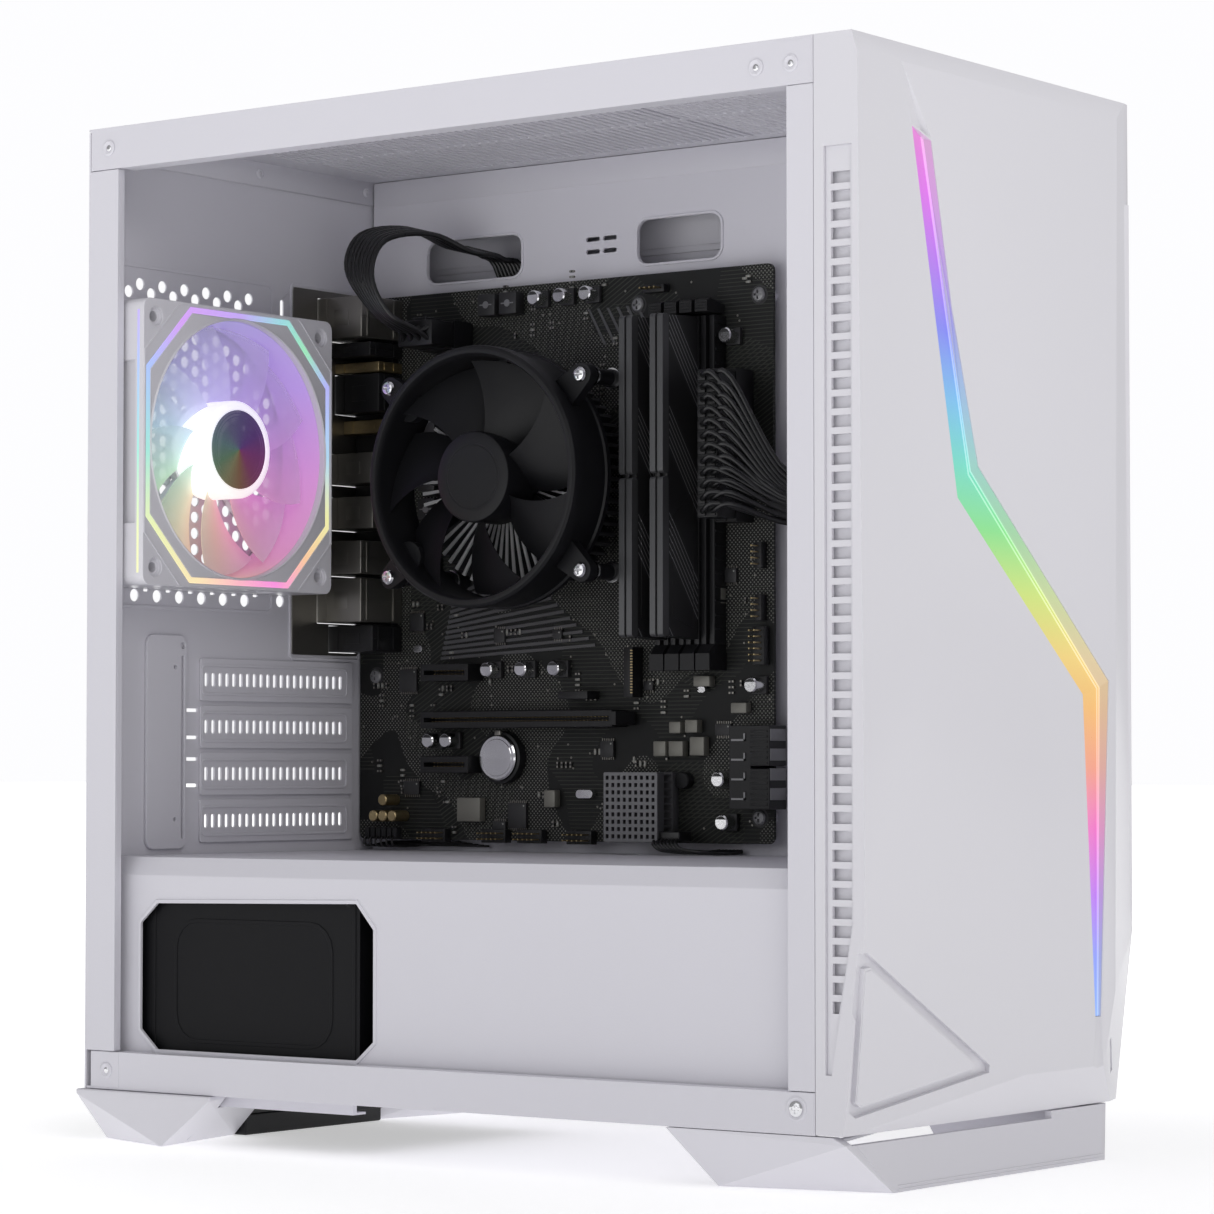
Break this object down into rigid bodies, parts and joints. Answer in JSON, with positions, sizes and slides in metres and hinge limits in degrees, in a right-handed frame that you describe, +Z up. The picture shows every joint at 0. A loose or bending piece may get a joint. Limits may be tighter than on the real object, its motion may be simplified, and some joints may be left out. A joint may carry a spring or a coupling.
{
  "type": "desktop computer tower",
  "caption": "White computer tower with an open side, faceted front panel with a zigzag light bar, finned side vents, fans, board, memory, power supply and angled feet.",
  "frame": {"origin": "middle of the object's box, on the surface that the feet stand on", "axes": "+Z up; -Y out of the front panel; -X out of the open left side; +X towards the closed right side"},
  "size_m": [0.209, 0.394, 0.4242],
  "materials": {
    "steel_white": "powder coat, fine satin",
    "plastic_white": "moulded, glossy",
    "foot_white": "moulded, satin gloss",
    "light_strip": "translucent diffuser, lit",
    "frosted_blades": "frosted translucent",
    "black_plastic": "moulded, matte",
    "black_steel": "black powder coat",
    "board_black": "solder mask, satin",
    "fin_metal": "extruded, brushed edges",
    "bright_metal": "plated, brushed",
    "cable_black": "glossy wire jacket",
    "mesh_black": "nylon filter mesh",
    "mesh_white": "nylon filter mesh",
    "memory_grey": "anodised, satin"
  },
  "bodies": {
    "root": {"chassis_floor": "steel_white", "chassis_rear": "steel_white", "chassis_top": "steel_white", "chassis_front": "steel_white", "motherboard_tray": "steel_white", "psu_shroud": "steel_white", "slot_bracket": "steel_white", "slot_cover_1": "steel_white", "slot_cover_2": "steel_white", "slot_cover_3": "steel_white", "slot_cover_4": "steel_white", "front_foot": "foot_white", "rear_foot_left": "foot_white", "rear_foot_right": "foot_white", "rear_foot_bar": "black_plastic", "top_io_panel": "plastic_white", "rear_fan_frame": "plastic_white", "rear_fan_light_ring": "light_strip", "cooler_fan_frame": "black_plastic", "cooler_heatsink": "fin_metal", "motherboard": "board_black", "io_port_stack": "bright_metal", "io_shield": "bright_metal", "memory_slot_1": "black_plastic", "memory_slot_2": "black_plastic", "memory_slot_3": "black_plastic", "memory_slot_4": "black_plastic", "memory_module_1": "memory_grey", "memory_module_2": "memory_grey", "expansion_slot_upper": "black_plastic", "graphics_slot": "black_plastic", "expansion_slot_lower": "black_plastic", "chipset_heatsink": "fin_metal", "cmos_battery": "bright_metal", "sata_ports": "black_plastic", "atx_power_connector": "black_plastic", "atx_power_cable": "cable_black", "cpu_power_connector": "black_plastic", "cpu_power_cable": "cable_black", "psu_body": "black_steel", "drive_cage": "steel_white", "hard_drive": "fin_metal"},
    "front_panel": {"front_panel_shell": "plastic_white", "front_light_bar": "light_strip", "front_vent_left": "plastic_white", "front_vent_right": "plastic_white"},
    "right_panel": {"right_side_panel": "steel_white"},
    "power_button": {"power_button": "plastic_white"},
    "reset_button": {"reset_button": "plastic_white"},
    "top_filter": {"top_dust_filter": "mesh_white"},
    "psu_filter": {"psu_dust_filter": "mesh_black"},
    "rear_fan": {"rear_fan_rotor": "frosted_blades"},
    "cooler_fan": {"cooler_fan_rotor": "black_plastic"},
    "psu_fan": {"psu_fan_rotor": "black_plastic"},
    "psu_rocker": {"psu_switch": "black_plastic"},
    "latch_1": {"memory_latch_1": "black_plastic"},
    "latch_2": {"memory_latch_2": "black_plastic"},
    "latch_3": {"memory_latch_3": "black_plastic"},
    "latch_4": {"memory_latch_4": "black_plastic"},
    "graphics_latch": {"graphics_slot_latch": "black_plastic"}
  },
  "joints": [
    {"name": "front_panel_pull", "type": "slide", "parent": "root", "child": "front_panel", "axis": [0, -1, 0], "range_m": [0, 0.06]},
    {"name": "right_panel_slide", "type": "slide", "parent": "root", "child": "right_panel", "axis": [0, 1, 0], "range_m": [0, 0.02]},
    {"name": "power_button_press", "type": "slide", "parent": "root", "child": "power_button", "axis": [0, 0, -1], "range_m": [0, 0.001], "stiffness_N_per_m": 800},
    {"name": "reset_button_press", "type": "slide", "parent": "root", "child": "reset_button", "axis": [0, 0, -1], "range_m": [0, 0.001], "stiffness_N_per_m": 700},
    {"name": "top_filter_lift", "type": "slide", "parent": "root", "child": "top_filter", "axis": [0, 0, 1], "range_m": [0, 0.04]},
    {"name": "psu_filter_pull", "type": "slide", "parent": "root", "child": "psu_filter", "axis": [0, 1, 0], "range_m": [0, 0.14]},
    {"name": "rear_fan_spin", "type": "hinge", "parent": "root", "child": "rear_fan", "pos_m": [-0.0374, 0.1757, 0.291], "axis": [0, 1, 0], "continuous": true},
    {"name": "cooler_fan_spin", "type": "hinge", "parent": "root", "child": "cooler_fan", "pos_m": [0.0217, 0.0757, 0.2785], "axis": [1, 0, 0], "continuous": true},
    {"name": "psu_fan_spin", "type": "hinge", "parent": "root", "child": "psu_fan", "pos_m": [-0.016, 0.112, 0.0375], "axis": [0, 0, 1], "continuous": true},
    {"name": "psu_rocker_tip", "type": "hinge", "parent": "root", "child": "psu_rocker", "pos_m": [-0.014, 0.187, 0.084], "axis": [1, 0, 0], "range_deg": [-12, 0]},
    {"name": "latch_1_tip", "type": "hinge", "parent": "root", "child": "latch_1", "pos_m": [0.068, 0.0125, 0.349], "axis": [0, 1, 0], "range_deg": [0, 30]},
    {"name": "latch_2_tip", "type": "hinge", "parent": "root", "child": "latch_2", "pos_m": [0.068, 0.0045, 0.349], "axis": [0, 1, 0], "range_deg": [0, 30]},
    {"name": "latch_3_tip", "type": "hinge", "parent": "root", "child": "latch_3", "pos_m": [0.068, -0.0035, 0.349], "axis": [0, 1, 0], "range_deg": [0, 30]},
    {"name": "latch_4_tip", "type": "hinge", "parent": "root", "child": "latch_4", "pos_m": [0.068, -0.0115, 0.349], "axis": [0, 1, 0], "range_deg": [0, 30]},
    {"name": "graphics_latch_tip", "type": "hinge", "parent": "root", "child": "graphics_latch", "pos_m": [0.068, 0.0333, 0.17608], "axis": [0, 0, 1], "range_deg": [0, 30]}
  ]
}
